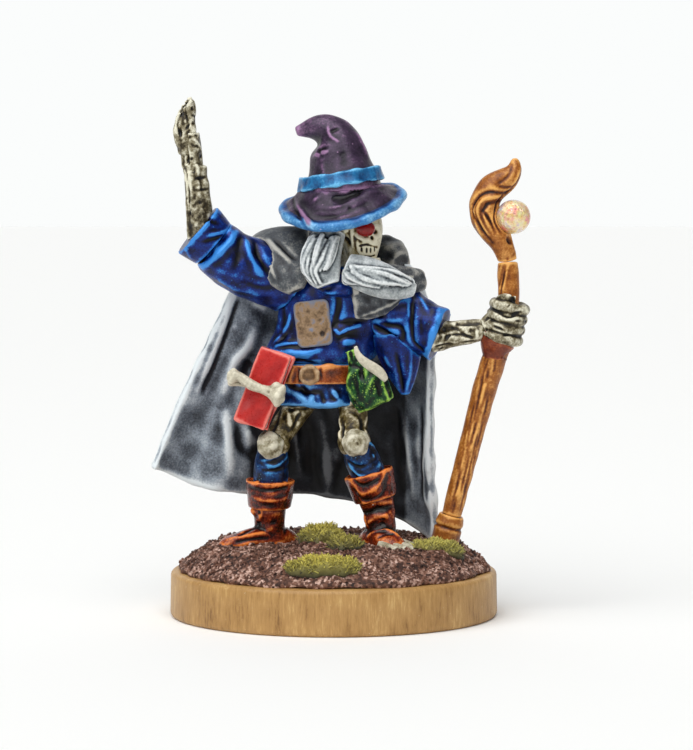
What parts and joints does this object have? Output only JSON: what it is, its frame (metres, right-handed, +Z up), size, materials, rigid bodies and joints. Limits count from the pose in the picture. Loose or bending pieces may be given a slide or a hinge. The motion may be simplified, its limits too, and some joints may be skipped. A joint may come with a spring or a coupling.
{
  "type": "painted miniature figure",
  "caption": "Painted robed skeleton figure with pointed hat, cape and staff, standing on a round gritted base.",
  "frame": {"origin": "centre of the wooden disc's underside", "axes": "+Z up through the disc, -Y the way the chest faces, -X towards the raised right hand"},
  "size_m": [0.0289, 0.025, 0.0394],
  "materials": {
    "wood_base": "matt varnish over ochre paint",
    "metal_stand": "matt paint",
    "earth": "rough grit, drybrushed",
    "grass": "matt static fibre",
    "leather_boot_paint": "gloss varnish",
    "blue_cloth_paint": "gloss varnish with fine metallic fleck",
    "bright_blue_paint": "gloss varnish",
    "bone_paint": "satin varnish over a dark wash",
    "belt_paint": "gloss varnish",
    "tan_paint": "satin varnish",
    "red_book_paint": "gloss varnish",
    "page_paint": "satin varnish",
    "green_pouch_paint": "gloss varnish with fine metallic fleck",
    "staff_wood_paint": "satin varnish over a brown wash",
    "grip_paint": "satin varnish",
    "orb_pearl_paint": "pearl with coarse glitter",
    "eye_paint": "gloss varnish",
    "grey_cloth_paint": "satin varnish",
    "hair_paint": "satin varnish",
    "purple_hat_paint": "satin varnish with fine metallic fleck"
  },
  "bodies": {
    "root": {"base_disc": "wood_base", "cast_stand": "metal_stand", "earth_cover": "earth", "grass_centre": "grass", "grass_front": "grass", "grass_staff": "grass", "tunic_body": "blue_cloth_paint", "tunic_skirt": "blue_cloth_paint", "tunic_collar": "blue_cloth_paint", "chest_patch": "tan_paint", "belt": "belt_paint", "belt_buckle": "tan_paint", "right_boot": "leather_boot_paint", "left_boot": "leather_boot_paint", "right_boot_cuff": "leather_boot_paint", "left_boot_cuff": "leather_boot_paint", "right_shin_wrap": "bright_blue_paint", "left_shin_wrap": "bright_blue_paint", "right_thigh_bone": "bone_paint", "left_thigh_bone": "bone_paint", "right_knee_cap": "bone_paint", "left_knee_cap": "bone_paint", "left_toe_bones": "bone_paint", "right_sleeve": "blue_cloth_paint", "right_sleeve_cuff": "blue_cloth_paint", "left_sleeve": "blue_cloth_paint", "left_sleeve_drape": "blue_cloth_paint", "right_forearm_bones": "bone_paint", "right_palm": "bone_paint", "right_fingers": "bone_paint", "left_forearm_bones": "bone_paint", "left_palm": "bone_paint", "left_fingers": "bone_paint", "staff_ferrule": "staff_wood_paint", "staff_shaft": "staff_wood_paint", "staff_grip": "grip_paint", "staff_head": "staff_wood_paint", "staff_orb": "orb_pearl_paint", "book_cover": "red_book_paint", "book_pages": "page_paint", "bone_charm": "bone_paint", "pouch": "green_pouch_paint", "pouch_tie": "bone_paint", "skull": "bone_paint", "jaw": "bone_paint", "right_eye": "eye_paint", "neck_bones": "bone_paint", "hair_lock": "hair_paint", "beard": "hair_paint", "hat_crown": "purple_hat_paint", "hat_brim": "purple_hat_paint", "hat_brim_edge": "bright_blue_paint", "hat_band": "bright_blue_paint", "mantle_right": "grey_cloth_paint", "mantle_left": "grey_cloth_paint", "hood": "grey_cloth_paint", "cape": "grey_cloth_paint"}
  },
  "joints": []
}
